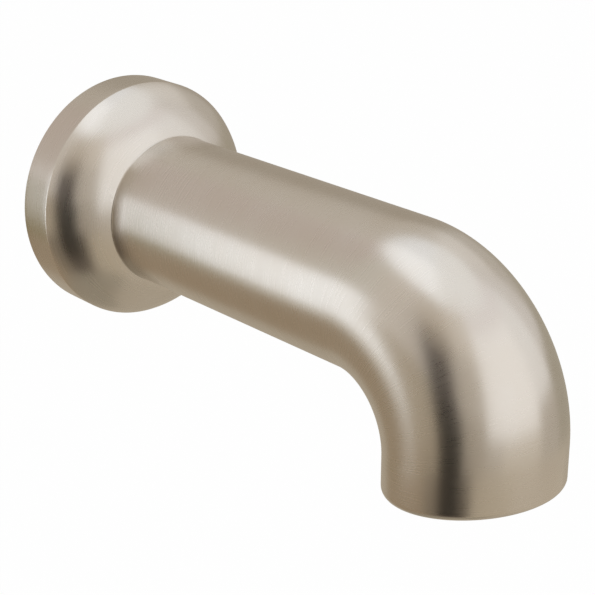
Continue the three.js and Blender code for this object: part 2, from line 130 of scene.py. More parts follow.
def lathe(outline, segments=96):
    """A solid turned about Y from an outline of (radius, y) corners.

    An outline that starts on the axis is closed by the axis, and any other by its ends.
    """
    bm = bmesh.new()
    corners = [bm.verts.new((radius, y, 0)) for radius, y in outline]
    edges = [bm.edges.new(pair) for pair in zip(corners, corners[1:])]
    if outline[0][0] > 0:
        edges.append(bm.edges.new((corners[-1], corners[0])))
    bmesh.ops.spin(bm, geom=corners + edges, cent=(0, 0, 0), axis=Y_AXIS, dvec=(0, 0, 0),
                   angle=FULL_TURN, steps=segments, use_merge=True, use_duplicate=False)
    return closed(bm)


def rod(radius, start, end, segments=64):
    """A solid rod along Y between two places."""
    return lathe([(0, start), (radius, start), (radius, end), (0, end)], segments)


def upright(bm):
    """Stands a shape made about the Y axis up on the Z axis."""
    bmesh.ops.rotate(bm, cent=(0, 0, 0), matrix=Matrix.Rotation(math.pi / 2, 3, "X"),
                     verts=bm.verts)
    return bm


def moved(bm, matrix):
    bmesh.ops.transform(bm, matrix=matrix, verts=bm.verts)
    return bm


def softened(bm, width, segments=3, sharper_than=35):
    """Rounds every edge whose two faces meet at more than an angle, in degrees."""
    limit = math.radians(sharper_than)
    edges = [e for e in bm.edges if len(e.link_faces) == 2 and e.calc_face_angle(0) > limit]
    bmesh.ops.bevel(bm, geom=edges, offset=width, offset_type="OFFSET", affect="EDGES",
                    segments=segments, profile=0.5, material=-1, clamp_overlap=True)
    return bm


def combined(bm, other, operation):
    """One bmesh with another cut out of it, joined to it or kept in common with it."""
    body, tool = object_from(bm, "carved"), object_from(other, "carving_tool")
    carve = body.modifiers.new("carve", "BOOLEAN")
    carve.operation = operation
    carve.solver = "EXACT"
    carve.object = tool
    depsgraph = bpy.context.evaluated_depsgraph_get()
    result = bmesh.new()
    result.from_mesh(body.evaluated_get(depsgraph).to_mesh())
    for used in (body, tool):
        mesh = used.data
        bpy.data.objects.remove(used)
        bpy.data.meshes.remove(mesh)
    return result


def cut(bm, *tools):
    for tool in tools:
        bm = combined(bm, tool, "DIFFERENCE")
    return bm


def joined(bm, *others):
    for other in others:
        bm = combined(bm, other, "UNION")
    return bm


# %% [markdown]
# ### Threads
#
# A thread is a zigzag that climbs as it turns. One tooth is drawn for each turn, and the
# whole zigzag is spun once round while it climbs by one pitch. Each tooth then ends where
# the next one starts, and merging the doubled points makes one endless helix. A few spare
# turns stand past both ends, and two planes trim them off.

# %% Thread helper
spare_turns = 3
thread_weld = 1e-3


def threaded_rod(crest, root, pitch, low, high, segments=48):
    """A rod about the Z axis with a V thread, trimmed flat at both ends."""
    bm = bmesh.new()
    turns = math.ceil((high - low) / pitch) + spare_turns
    start = low - spare_turns / 2 * pitch
    corners = [bm.verts.new((root, 0, start))]
    for turn in range(turns):
        corners.append(bm.verts.new((crest, 0, start + (turn + 0.5) * pitch)))
        corners.append(bm.verts.new((root, 0, start + (turn + 1) * pitch)))
    edges = [bm.edges.new(pair) for pair in zip(corners, corners[1:])]
    bmesh.ops.spin(bm, geom=corners + edges, cent=(0, 0, 0), axis=Z_AXIS,
                   dvec=(0, 0, pitch / segments), angle=FULL_TURN, steps=segments,
                   use_merge=False, use_duplicate=False)
    bmesh.ops.remove_doubles(bm, verts=bm.verts, dist=thread_weld)
    for height, inner in ((low, True), (high, False)):
        everything = bm.verts[:] + bm.edges[:] + bm.faces[:]
        bmesh.ops.bisect_plane(bm, geom=everything, dist=SLIVER, plane_co=(0, 0, height),
                               plane_no=Z_AXIS, clear_inner=inner, clear_outer=not inner)
        rim = [e for e in bm.edges if all(abs(v.co.z - height) < SAME_PLACE for v in e.verts)]
        bmesh.ops.holes_fill(bm, edges=rim, sides=0)
    bmesh.ops.recalc_face_normals(bm, faces=bm.faces)
    return bm


# %% [markdown]
# ## Shader maths that reads like maths
#
# A finish is a graph of nodes, and a graph written node by node is hard to read. The small
# class below wraps one output of a node, so that `0.3 + grain * 0.1` adds the two Math nodes
# and wires them up. Every other kind of node comes from one method, which sets the node's
# own settings first and then fills or links its sockets.

# %% Wire and Finish
class Wire:
    """One output of a shader node, with arithmetic."""

    def __init__(self, finish, socket):
        self.finish = finish
        self.socket = socket

    def maths(self, operation, first, second):
        return self.finish.node("ShaderNodeMath", {"operation": operation}, {0: first, 1: second})

    def __add__(self, other):
        return self.maths("ADD", self, other)

    def __radd__(self, other):
        return self.maths("ADD", other, self)

    def __sub__(self, other):
        return self.maths("SUBTRACT", self, other)

    def __rsub__(self, other):
        return self.maths("SUBTRACT", other, self)

    def __mul__(self, other):
        return self.maths("MULTIPLY", self, other)

    def __rmul__(self, other):
        return self.maths("MULTIPLY", other, self)


class Finish:
    """Builds one material or world as a graph of nodes."""

    def __init__(self, owner):
        self.owner = owner
        owner.use_nodes = True
        self.tree = owner.node_tree
        self.tree.nodes.clear()

    def node(self, kind, settings=None, sockets=None, output=0):
        """Adds a node and gives back one of its outputs."""
        made = self.tree.nodes.new(kind)
        for key, value in (settings or {}).items():
            if key == "stops":
                self.set_stops(made.color_ramp, value)
            else:
                setattr(made, key, value)
        for key, value in (sockets or {}).items():
            if isinstance(value, Wire):
                self.tree.links.new(value.socket, made.inputs[key])
            else:
                made.inputs[key].default_value = value
        return Wire(self, made.outputs[output]) if made.outputs else made

    @staticmethod
    def set_stops(ramp, stops):
        while len(ramp.elements) < len(stops):
            ramp.elements.new(1)
        for element, (place, shade) in zip(ramp.elements, stops):
            element.position = place
            element.color = (shade, shade, shade, 1)

    def place(self):
        """Where a point of the surface is on its object, in metres."""
        return self.node("ShaderNodeTexCoord", output="Object")

    def stretched(self, vector, scale):
        return self.node("ShaderNodeMapping", None, {"Vector": vector, "Scale": scale})

    def noise(self, vector, scale, detail=2.0, roughness=0.5):
        sockets = {"Vector": vector, "Scale": scale, "Detail": detail, "Roughness": roughness}
        return self.node("ShaderNodeTexNoise", None, sockets)

    def ramp(self, value, *stops):
        return self.node("ShaderNodeValToRGB", {"stops": stops}, {"Fac": value})

    def blend(self, factor, first, second):
        """One colour fading into another."""
        sockets = {0: factor, 6: first, 7: second}
        return self.node("ShaderNodeMix", {"data_type": "RGBA"}, sockets, output=2)

    def worn_edges(self, low=0.51, high=0.56):
        """1 on outer corners that hands and tools rub, and 0 elsewhere."""
        pointed = self.node("ShaderNodeNewGeometry", output="Pointiness")
        return self.ramp(pointed, (low, 0), (high, 1))

    def bump(self, height, strength, distance):
        sockets = {"Height": height, "Strength": strength, "Distance": distance}
        return self.node("ShaderNodeBump", None, sockets)

    def surface(self, **sockets):
        """Fills the main shader, whose sockets are named here in small letters."""
        named = {key.replace("_", " ").title().replace("Ior", "IOR"): value
                 for key, value in sockets.items()}
        shader = self.node("ShaderNodeBsdfPrincipled", None, named)
        self.node("ShaderNodeOutputMaterial", None, {"Surface": shader})
        return self.owner


def new_finish(name):
    return Finish(bpy.data.materials.new(name))


def colour(red, green, blue):
    return (red, green, blue, 1)


# %% [markdown]
# ## Satin nickel
#
# The casting is plated with nickel and then brushed, so its reflections are soft and there
# are no mirror-sharp edges in them. Nickel is a warm grey metal: it sends back a little more
# red than blue.
#
# The brushing runs round the tube, so the scratches must follow the tube round its bend.
# Object coordinates can't do that. The sweep that makes the mesh stores where each point is
# along the tube and round it, and the scratches are a noise that is squeezed along the tube
# and drawn out round it. They tilt the surface by a hair and change its roughness, and a much
# larger, fainter noise keeps the metal from looking like paint.

# %% Satin nickel
NICKEL = colour(0.69, 0.65, 0.60)
NICKEL_WARM = colour(0.67, 0.62, 0.56)


def satin_nickel():
    metal = new_finish("satin_nickel")
    sweep = metal.node("ShaderNodeAttribute", {"attribute_name": "sweep"}, None, "Vector")
    scratches = metal.noise(metal.stretched(sweep, (2600, 2.2, 2.2)), 1, 4, 0.65)
    strokes = metal.noise(metal.stretched(sweep, (260, 1.3, 1.3)), 1, 3, 0.6)
    clouds = metal.noise(metal.place(), 38, 3, 0.55)
    worn = metal.worn_edges()
    grain = scratches * 0.7 + strokes * 0.3
    return metal.surface(
        base_color=metal.blend(metal.ramp(clouds, (0.35, 0), (0.65, 1)), NICKEL, NICKEL_WARM),
        metallic=1.0,
        roughness=0.215 + grain * 0.11 + clouds * 0.02 - worn * 0.04,
        normal=metal.bump(grain, 0.09, 0.00004),
    )


# %% [markdown]
# ## Machined and plated brass
#
# The adapter and the bushing are turned from bar and left bare. A lathe tool leaves a fine
# spiral, which reads as rings round the axis, and brass goes darker and browner where it has
# been handled or has met water. The collar in the mouth is the same metal, plated.

# %% Brass
BRASS = colour(0.80, 0.62, 0.30)
BRASS_TARNISHED = colour(0.52, 0.36, 0.16)
PLATING = colour(0.62, 0.59, 0.55)
PLATING_DULL = colour(0.47, 0.44, 0.40)


def turned_metal(name, bright, dull, axis_scale, roughness):
    """A turned metal: axis_scale squeezes the noise along the axis that it was turned on."""
    metal = new_finish(name)
    place = metal.place()
    rings = metal.noise(metal.stretched(place, axis_scale), 1, 3, 0.7)
    stained = metal.ramp(metal.noise(place, 120, 5, 0.6), (0.42, 0), (0.68, 1))
    worn = metal.worn_edges()
    return metal.surface(
        base_color=metal.blend(stained * (1 - worn), bright, dull),
        metallic=1.0,
        roughness=roughness + rings * 0.12 + stained * 0.14 - worn * 0.06,
        normal=metal.bump(rings, 0.25, 0.00005),
    )


# %% [markdown]
# ## Dark steel and woven wire
#
# The set screw is blackened: a thin dark oxide that rubs through to bright steel on the
# thread's crests and round the key socket. The screens are drawn stainless wire, bright and
# slightly uneven, with dull patches where water has dried.

# %% Steel
OXIDE = colour(0.055, 0.052, 0.05)
BARE_STEEL = colour(0.42, 0.41, 0.39)
STAINLESS = colour(0.66, 0.65, 0.62)
STAINLESS_DULL = colour(0.46, 0.45, 0.42)


def blackened_steel():
    steel = new_finish("blackened_steel")
    patches = steel.noise(steel.place(), 900, 4, 0.6)
    rubbed = steel.worn_edges(0.505, 0.54) * steel.ramp(patches, (0.35, 0.2), (0.6, 1))
    return steel.surface(
        base_color=steel.blend(rubbed, OXIDE, BARE_STEEL),
        metallic=1.0,
        roughness=0.42 + patches * 0.2 - rubbed * 0.12,
        normal=steel.bump(patches, 0.2, 0.00003),
    )


def drawn_wire():
    wire = new_finish("drawn_wire")
    marks = wire.noise(wire.place(), 2400, 3, 0.6)
    dried = wire.ramp(wire.noise(wire.place(), 260, 4, 0.6), (0.45, 0), (0.7, 1))
    return wire.surface(
        base_color=wire.blend(dried, STAINLESS, STAINLESS_DULL),
        metallic=1.0,
        roughness=0.22 + marks * 0.16 + dried * 0.12,
        normal=wire.bump(marks, 0.15, 0.00002),
    )


# %% [markdown]
# ## Rubber, foam and plastics
#
# The seals are black nitrile, a little greasy, with a faint bloom of grey. The gasket against
# the wall is closed-cell foam, and its cut face shows thousands of small cells: a Voronoi
# texture gives them, raises their walls and paints their pits darker as painted shade. The
# waterway is a glass-filled grey plastic with a fine moulded texture, and the insert is a smooth
# white one.

# %% Rubber, foam and plastics
RUBBER = colour(0.012, 0.012, 0.013)
RUBBER_BLOOM = colour(0.045, 0.045, 0.047)
FOAM = colour(0.075, 0.076, 0.082)
FOAM_PALE = colour(0.15, 0.152, 0.16)


def black_rubber():
    rubber = new_finish("black_rubber")
    bloom = rubber.noise(rubber.place(), 300, 5, 0.65)
    dust = rubber.noise(rubber.place(), 3500, 2, 0.5)
    return rubber.surface(
        base_color=rubber.blend(rubber.ramp(bloom, (0.45, 0), (0.75, 1)), RUBBER, RUBBER_BLOOM),
        roughness=0.38 + bloom * 0.3,
        specular_ior_level=0.45,
        normal=rubber.bump(dust, 0.25, 0.00003),
    )


def cell_foam():
    foam = new_finish("cell_foam")
    place = foam.place()
    cells = foam.node("ShaderNodeTexVoronoi", {"feature": "F1"}, {"Vector": place, "Scale": 2600})
    cell_walls_and_pit_shade = foam.ramp(cells, (0.15, 0), (0.6, 1))
    cloudy = foam.noise(place, 180, 3, 0.6)
    return foam.surface(
        # Pale on the cell walls and darker in the cells' pits: the cells are a pattern, and the
        # darker pits are painted shade.
        base_color=foam.blend(cell_walls_and_pit_shade * (0.5 + cloudy), FOAM, FOAM_PALE),
        roughness=0.82 + cloudy * 0.12,
        specular_ior_level=0.25,
        normal=foam.bump(cell_walls_and_pit_shade, 0.8, 0.00015),
    )


def moulded_plastic(name, pale, deep, grain_scale, roughness):
    plastic = new_finish(name)
    place = plastic.place()
    grain = plastic.noise(place, grain_scale, 3, 0.55)
    flow = plastic.ramp(plastic.noise(place, 90, 4, 0.6), (0.35, 0), (0.7, 1))
    return plastic.surface(
        base_color=plastic.blend(flow, pale, deep),
        roughness=roughness + grain * 0.16 - plastic.worn_edges() * 0.05,
        specular_ior_level=0.5,
        normal=plastic.bump(grain, 0.2, 0.00004),
    )


# %% Make the finishes once
nickel = satin_nickel()
brass = turned_metal("machined_brass", BRASS, BRASS_TARNISHED, (30, 5200, 30), 0.2)
plated = turned_metal("plated_brass", PLATING, PLATING_DULL, (40, 40, 4200), 0.22)
dark_steel = blackened_steel()
wire_metal = drawn_wire()
black_seal = black_rubber()
grey_foam = cell_foam()
grey_plastic = moulded_plastic(
    "grey_plastic", colour(0.26, 0.275, 0.29), colour(0.21, 0.225, 0.24), 1800, 0.4)
white_plastic = moulded_plastic(
    "white_plastic", colour(0.80, 0.80, 0.77), colour(0.72, 0.72, 0.68), 2500, 0.3)
print("made the finishes, starting with", nickel.name)

# %% [markdown]
# ## Sizes of the casting
#
# The flange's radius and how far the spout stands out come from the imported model. The other
# sizes are the drawing's own, in millimetres. Seen from the side, the flange is a rim, a
# dome and a small fillet into the tube. A slope is the angle between a surface and the
# wall, so the rim's own slope is a right angle. The fillet is a little tighter than the
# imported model's: a wider one mirrors the black card as a dark line beside the tube.

# %% Sizes
flange_radius = cad_box[1].x / MM
reach = -cad_box[0].y / MM
rim_width, rim_rounding, rim_back_chamfer = 12.5, 1.2, 0.4
dome_edge_slope, dome_foot_slope = math.radians(65), math.radians(24)
foot_fillet = 0.6
tube_radius, wall = 23.5, 3.1
throat_radius, crown_radius = 15.2, 52.4
drop_below_throat = 10.3
mouth_radius, mouth_slope = 24.7, math.radians(8.4)
lip_rounding = 2.6
bore_radius = tube_radius - wall
counterbore_radius, counterbore_end = bore_radius + 0.5, 60.3
seat_gap, seal_gap = 0.3, 0.15

drop_front = -reach
drop_centre = drop_front + mouth_radius
drop_back = drop_centre + mouth_radius
throat_centre = Vector((0, drop_back + throat_radius, -tube_radius - throat_radius))
crown_centre = Vector((0, drop_front + crown_radius, tube_radius - crown_radius))
lip_rise = mouth_radius * math.tan(mouth_slope)
mouth_centre = throat_centre.z - drop_below_throat + lip_rise
print(f"flange {2 * flange_radius:.1f} mm across, reach {reach:.1f} mm")

# %% [markdown]
# ## The casting's sections
#
# The spout could be cut up into a cylinder, a torus and a cone, but the real one has no
# seams between such parts, and its bend is no torus: the underside turns tightly and the top
# turns wide. So it is swept from one ring. Each section is an ellipse through a lowest and a
# highest point, which both run on their own curve, and a matrix says how to squash and tilt
# a unit circle into that ellipse.

# %% Sections
def ellipse(low, high, half_width):
    """The matrix that takes a unit circle to a section between two points where X is 0."""
    up = (high - low) / 2
    across = X_AXIS * half_width
    turn = Matrix((across, up, across.cross(up).normalized())).transposed().to_4x4()
    return Matrix.Translation((low + high) / 2) @ turn


def round_section(radius, depth):
    """A round section about the tube's axis, at a depth from the wall."""
    return ellipse(Vector((0, -depth, -radius)), Vector((0, -depth, radius)), radius)


def spread(first, last, steps):
    return [first + (last - first) * step / steps for step in range(steps + 1)]


def curve_point(centre, radius, slope):
    """A point of a turned curve, as radius and depth, where its surface has a slope."""
    return (centre[0] + radius * math.sin(slope), centre[1] + radius * math.cos(slope))


def curve_centre(point, radius, slope):
    return curve_point(point, -radius, slope)


def turned_sections(centre, radius, slopes):
    return [round_section(*curve_point(centre, radius, slope)) for slope in slopes]


rim_edge = (flange_radius - rim_rounding * (1 - math.sin(dome_edge_slope)), rim_width)
foot_radius = tube_radius + foot_fillet * (1 - math.sin(dome_foot_slope))
dome_curve = (rim_edge[0] - foot_radius) / (math.sin(dome_edge_slope) - math.sin(dome_foot_slope))
dome_centre = curve_centre(rim_edge, dome_curve, dome_edge_slope)
dome_foot = curve_point(dome_centre, dome_curve, dome_foot_slope)
fillet_centre = curve_centre(dome_foot, -foot_fillet, dome_foot_slope)
print(f"the dome's curve is {dome_curve:.1f} mm and it ends {fillet_centre[1]:.1f} mm out")


# %% The flange, the tube, the bend and the mouth
def flare_sections(inset, first_slope):
    dome = spread(first_slope, dome_foot_slope, 18)
    fillet = spread(dome_foot_slope, math.pi / 2, 12)[1:]
    return (turned_sections(dome_centre, dome_curve - inset, dome)
            + turned_sections(fillet_centre, -foot_fillet - inset, fillet))


def bend_sections(inset, steps=44):
    sections = []
    for step, angle in enumerate(spread(0, math.pi / 2, steps)):
        direction = Vector((0, -math.sin(angle), math.cos(angle)))
        low = throat_centre + direction * (throat_radius + inset)
        high = crown_centre + direction * (crown_radius - inset)
        grown = tube_radius + (mouth_radius - tube_radius) * step / steps
        sections.append(ellipse(low, high, grown - inset))
    return sections


def mouth_section(inset, rise):
    low = Vector((0, drop_back - inset, mouth_centre - lip_rise + rise))
    high = Vector((0, drop_front + inset, mouth_centre + lip_rise + rise))
    return ellipse(low, high, mouth_radius - inset)


def outside_sections():
    rounding = spread(math.pi / 2, dome_edge_slope, 5)[:-1]
    rim_depths = spread(rim_back_chamfer, rim_width - rim_rounding, 6)[:-1]
    tube_depths = spread(fillet_centre[1], -throat_centre.y, 24)[1:-1]
    sections = [round_section(flange_radius - rim_back_chamfer, 0)]
    sections += [round_section(flange_radius, depth) for depth in rim_depths]
    sections += turned_sections(curve_centre(rim_edge, rim_rounding, dome_edge_slope),
                                rim_rounding, rounding)
    sections += flare_sections(0, dome_edge_slope)
    sections += [round_section(tube_radius, depth) for depth in tube_depths]
    sections += bend_sections(0)
    for angle in spread(0, math.pi / 2, 8):
        inset = lip_rounding * (1 - math.cos(angle))
        sections.append(mouth_section(inset, lip_rounding * (1 - math.sin(angle))))
    return sections


print(len(outside_sections()), "sections outside")

# %% [markdown]
# ### The hollow inside
#
# The inside follows the outside one wall in. Seen from the wall it has a shallow recess for
# the gasket, a bell under the dome, a slightly wider bore that the bushing is pressed into,
# and then the plain bore round the bend to the mouth.

# %% Sections of the hollow
gasket_land, gasket_width, gasket_recess = 3.5, 3.0, 1.8
recess_radius = flange_radius - rim_back_chamfer - gasket_land
bell_radius = recess_radius - gasket_width - 2 * seat_gap


def hollow_sections():
    flare_wall = tube_radius - counterbore_radius
    bell_slope = math.asin((bell_radius - dome_centre[0]) / (dome_curve - flare_wall))
    sections = [
        round_section(recess_radius, 0),
        round_section(recess_radius, gasket_recess),
        round_section(bell_radius, gasket_recess),
    ]
    sections += flare_sections(flare_wall, bell_slope)
    sections.append(round_section(counterbore_radius, counterbore_end))
    sections.append(round_section(bore_radius, counterbore_end))
    sections += bend_sections(wall, 28)
    sections.append(mouth_section(wall, lip_rounding))
    return sections


print(len(hollow_sections()), "sections inside")

# %% [markdown]
# ### Sweep it
#
# A ring of edges is extruded again and again, and each new ring is moved by a matrix. The
# sweep runs over the outside to the mouth, turns round the lip and runs back along the
# hollow to where it began. Each corner of each face stores its place along and round the
# tube, for the brushing. Tiny errors add up over so many rings, so the points of the seam
# where the sweep meets its own start are merged over a wider gap than others.
#
# Last, a hole is cut under the tube near the flange, with a small countersink: the key for
# the set screw goes in there.

# %% Sweep the casting
seam_weld = 0.01


def swept(sections, segments):
    """A closed skin through sections that runs back to the first one."""
    bm = bmesh.new()
    route = bm.verts.layers.float_vector.new("route")
    ring = bmesh.ops.create_circle(bm, cap_ends=False, radius=1, segments=segments)["verts"]
    for vert in ring:
        vert[route] = (0, vert.co.x, vert.co.y)
    bmesh.ops.transform(bm, matrix=sections[0], verts=ring)
    edges, along = bm.edges[:], 0
    for before, after in zip(sections, sections[1:] + sections[:1]):
        made = bmesh.ops.extrude_edge_only(bm, edges=edges)["geom"]
        ring = [item for item in made if isinstance(item, bmesh.types.BMVert)]
        edges = [e for e in made if isinstance(e, bmesh.types.BMEdge) and e.is_boundary]
        bmesh.ops.transform(bm, matrix=after @ before.inverted(), verts=ring)
        along += sum((after @ side - before @ side).length for side in (Y_AXIS, -Y_AXIS)) / 2
        for vert in ring:
            vert[route] = (along * MM, vert[route].y, vert[route].z)
    sweep = bm.loops.layers.float_vector.new("sweep")
    for face in bm.faces:
        for corner in face.loops:
            corner[sweep] = corner.vert[route]
    bm.verts.layers.float_vector.remove(bm.verts.layers.float_vector["route"])
    seam = [vert for vert in bm.verts if vert.is_boundary]
    bmesh.ops.remove_doubles(bm, verts=seam, dist=seam_weld)
    return closed(bm)


set_screw_depth = 36.0
set_screw_radius, access_gap = 3.0, 0.6
access_radius = set_screw_radius + access_gap
set_screw_place = Matrix.Translation((0, -set_screw_depth, 0))
countersink_inner, countersink_outer = 0.5, 0.7
countersink_width = countersink_inner + countersink_outer

casting = swept(outside_sections() + hollow_sections()[::-1], 192)
access = lathe([(0, 0), (access_radius, 0), (access_radius, -tube_radius + countersink_inner),
                (access_radius + countersink_width, -tube_radius - countersink_outer),
                (0, -tube_radius - countersink_outer)], 64)
casting = cut(casting, moved(upright(access), set_screw_place))
finish_piece(casting, "spout_shell", "spout_body", "spout", nickel)

# %% [markdown]
# ## The foam gasket
#
# A ring of foam sits in the recess in the flange's back and takes up the unevenness of the
# wall. It is shown at the thickness it is squeezed to. Its outer corners are soft, because
# foam is die-cut and springs back.

# %% Foam gasket
gasket_outer = recess_radius - seat_gap
gasket_inner = gasket_outer - gasket_width
gasket_depth = gasket_recess - seat_gap
gasket_rounding = 0.35
gasket = lathe([(gasket_inner, 0), (gasket_outer, 0),
                (gasket_outer, -gasket_depth), (gasket_inner, -gasket_depth)], 160)
softened(gasket, gasket_rounding)
finish_piece(gasket, "foam_gasket", "wall_gasket", "spout", grey_foam)

# %% [markdown]
# ## The adapter on the pipe
#
# The adapter screws onto the supply pipe with a pipe thread, so it has a hexagon for a
# spanner. A real hexagon is cut from a round blank whose ends are chamfered, and that is how
# it is made here too: a chamfered disc is kept in common with a six-sided bar, which leaves
# the curved shoulders that every nut has. The spigot in front carries two seals in grooves,
# and its tip is chamfered so that it doesn't cut them on the way in.

# %% Adapter
adapter_back, hex_front, stop_front, spigot_tip = 6.0, 22.0, 25.0, 56.0
hex_apothem = 27.0 / 2
hex_corner = hex_apothem / math.cos(math.pi / 6)
stop_radius, spigot_radius, adapter_bore = 14.0, 11.2, 6.5
spigot_groove, groove_half = 9.4, 1.5
groove_depths = (45.0, 51.0)
pipe_bore, pipe_thread_end, pipe_tooth, pipe_pitch = 9.6, 23.0, 0.9, 1.814
hex_edge, stop_edge, spigot_edge, pipe_countersink = 0.3, 0.5, 0.9, 1.6
shoulder_slope = 0.6


def six_sided_bar(corner_radius, low, high):
    """A six-sided bar about the Z axis between two heights."""
    bar = bmesh.new()
    bmesh.ops.create_cone(bar, cap_ends=True, segments=6, radius1=corner_radius,
                          radius2=corner_radius, depth=high - low,
                          matrix=Matrix.Translation((0, 0, (low + high) / 2)))
    return bar


def hexagon():
    shoulder = (hex_corner - hex_apothem) * shoulder_slope
    blank = lathe([
        (0, -adapter_back), (hex_apothem - hex_edge, -adapter_back),
        (hex_corner, -adapter_back - shoulder), (hex_corner, -hex_front + shoulder),
        (hex_apothem - hex_edge, -hex_front), (0, -hex_front),
    ], 120)
    bar = moved(six_sided_bar(hex_corner, 0, flange_radius), Matrix.Rotation(math.pi / 2, 4, "X"))
    return combined(blank, bar, "INTERSECT")


def spigot():
    """The turned front, which starts a little inside the hexagon so that the two join."""
    outline = [(0, -hex_front + PAST), (stop_radius, -hex_front + PAST),
               (stop_radius, -stop_front + stop_edge), (stop_radius - stop_edge, -stop_front),
               (spigot_radius, -stop_front)]
    for depth in groove_depths:
        back, front = -depth + groove_half, -depth - groove_half
        outline += [(spigot_radius, back), (spigot_groove, back),
                    (spigot_groove, front), (spigot_radius, front)]
    outline += [(spigot_radius, -spigot_tip + spigot_edge),
                (spigot_radius - spigot_edge, -spigot_tip), (0, -spigot_tip)]
    return lathe(outline, 120)


def pipe_socket():
    """The threaded hole for the pipe, with a countersunk mouth and a drilled passage."""
    thread = threaded_rod(pipe_bore + pipe_tooth, pipe_bore, pipe_pitch,
                          adapter_back - PAST, pipe_thread_end, 64)
    widest, deepest = pipe_bore + pipe_countersink + PAST, -adapter_back - pipe_countersink
    mouth = lathe([(0, -adapter_back + PAST), (widest, -adapter_back + PAST),
                   (pipe_bore, deepest), (0, deepest)], 96)
    passage = rod(adapter_bore, -adapter_back, -spigot_tip - PAST, 96)
    return moved(thread, Matrix.Rotation(math.pi / 2, 4, "X")), mouth, passage


adapter = cut(joined(hexagon(), spigot()), *pipe_socket())
finish_piece(adapter, "pipe_adapter", "inlet_adapter", "wall_adapter", brass)

# %% [markdown]
# ## The seals
#
# A rubber ring is the same everywhere: a small circle spun round an axis. Each sits in its
# groove with a hair of room, which it would fill once squeezed.

# %% Rubber rings
def seal_ring(outer_radius, inner_radius, y, segments=96):
    """A rubber ring about the Y axis."""
    section = (outer_radius - inner_radius) / 2
    bm = bmesh.new()
    bmesh.ops.create_circle(bm, cap_ends=False, radius=section, segments=20,
                            matrix=Matrix.Translation((inner_radius + section, y, 0)))
    bmesh.ops.spin(bm, geom=bm.verts[:] + bm.edges[:], cent=(0, 0, 0), axis=Y_AXIS,
                   dvec=(0, 0, 0), angle=FULL_TURN, steps=segments, use_merge=True,
                   use_duplicate=False)
    return closed(bm)


bushing_bore = spigot_radius + 0.4
spigot_seals = zip(("rear_seal", "front_seal"),
                   ("adapter_o_ring_rear", "adapter_o_ring_front"), groove_depths)
for name, node, depth in spigot_seals:
    ring = seal_ring(bushing_bore - seat_gap, spigot_groove + seat_gap, -depth)
    finish_piece(ring, name, node, "wall_adapter", black_seal)

# %% [markdown]
# ## The bushing
#
# The bushing is pressed into the tube and takes the adapter's spigot. Its front is a disc
# that seats against the tube's shoulder and a nozzle for the waterway, and a boss under it
# holds the set screw's thread. The nozzle has a groove for its own seal.

# %% Bushing
bushing_back, bushing_bore_end, bushing_face = 28.0, 58.0, 60.0
bushing_wall = 3.4
bushing_radius = bushing_bore + bushing_wall
seat_disc_radius, seat_disc_back = counterbore_radius - seat_gap, 56.0
nozzle_bore, nozzle_radius, nozzle_length = 7.6, 10.2, 8.0
nozzle_groove, nozzle_groove_half = 8.7, 1.1
nozzle_tip_edge, nozzle_bore_edge = 0.7, 0.2
entry_edge, bushing_edge, face_edge = 0.6, 0.4, 0.3
boss_radius, screw_tooth, screw_pitch = 6.0, 0.45, 1.0


def nozzle_outline(face, direction):
    """The outside of a nozzle that starts at a face, with the groove for its seal."""
    def at(distance):
        return face + direction * distance
    middle = nozzle_length / 2
    return [
        (nozzle_radius, at(0)),
        (nozzle_radius, at(middle - nozzle_groove_half)),
        (nozzle_groove, at(middle - nozzle_groove_half)),
        (nozzle_groove, at(middle + nozzle_groove_half)),
        (nozzle_radius, at(middle + nozzle_groove_half)),
        (nozzle_radius, at(nozzle_length - nozzle_tip_edge)),
        (nozzle_radius - nozzle_tip_edge, at(nozzle_length)),
        (nozzle_bore + nozzle_bore_edge, at(nozzle_length)),
        (nozzle_bore, at(nozzle_length - nozzle_bore_edge)),
    ]


sleeve = lathe([
    (bushing_bore + entry_edge, -bushing_back),
    (bushing_radius - bushing_edge, -bushing_back),
    (bushing_radius, -bushing_back - bushing_edge), (bushing_radius, -seat_disc_back),
    (seat_disc_radius - bushing_edge, -seat_disc_back),
    (seat_disc_radius, -seat_disc_back - bushing_edge),
    (seat_disc_radius, -bushing_face + face_edge),
    (seat_disc_radius - face_edge, -bushing_face),
    *nozzle_outline(-bushing_face, -1), (nozzle_bore, -bushing_bore_end),
    (bushing_bore, -bushing_bore_end), (bushing_bore, -bushing_back - entry_edge),
], 120)
boss_root = bushing_bore + 1.6
boss_reach = math.sqrt(seat_disc_radius ** 2 - boss_radius ** 2)
boss = lathe([(0, -boss_root), (boss_radius, -boss_root),
              (boss_radius, -boss_reach + bushing_edge), (boss_radius - bushing_edge, -boss_reach),
              (0, -boss_reach)], 72)
screw_hole_radius = set_screw_radius + seat_gap
screw_hole = threaded_rod(screw_hole_radius + screw_tooth, screw_hole_radius, screw_pitch,
                          -tube_radius, -bushing_bore + 2 * PAST)
bushing = joined(sleeve, moved(upright(boss), set_screw_place))
bushing = cut(bushing, moved(screw_hole, set_screw_place))
finish_piece(bushing, "tube_bushing", "socket_bushing", "spout", brass)

socket_bore = nozzle_radius + seat_gap
nozzle_seal = seal_ring(socket_bore - seal_gap, nozzle_groove + seal_gap,
                        -bushing_face - nozzle_length / 2)
finish_piece(nozzle_seal, "nozzle_seal", "bushing_o_ring", "spout", black_seal)

# %% [markdown]
# ## The outlet's own frame
#
# The mouth is cut at a slope, so the pieces in it are tilted too. They are made upright about
# the Z axis, level with the middle of the collar's web, and one matrix puts them in place.

# %% Outlet frame
collar_recess, collar_web = 5.0, 4.0
outlet_rise = (collar_recess + collar_web / 2) / math.cos(mouth_slope)
outlet_origin = Vector((0, drop_centre, mouth_centre + outlet_rise))
outlet = Matrix.Translation(outlet_origin) @ Matrix.Rotation(-mouth_slope, 4, "X")
water_up = outlet.to_3x3() @ Z_AXIS
print("water leaves along", tuple(round(-x, 3) for x in water_up))

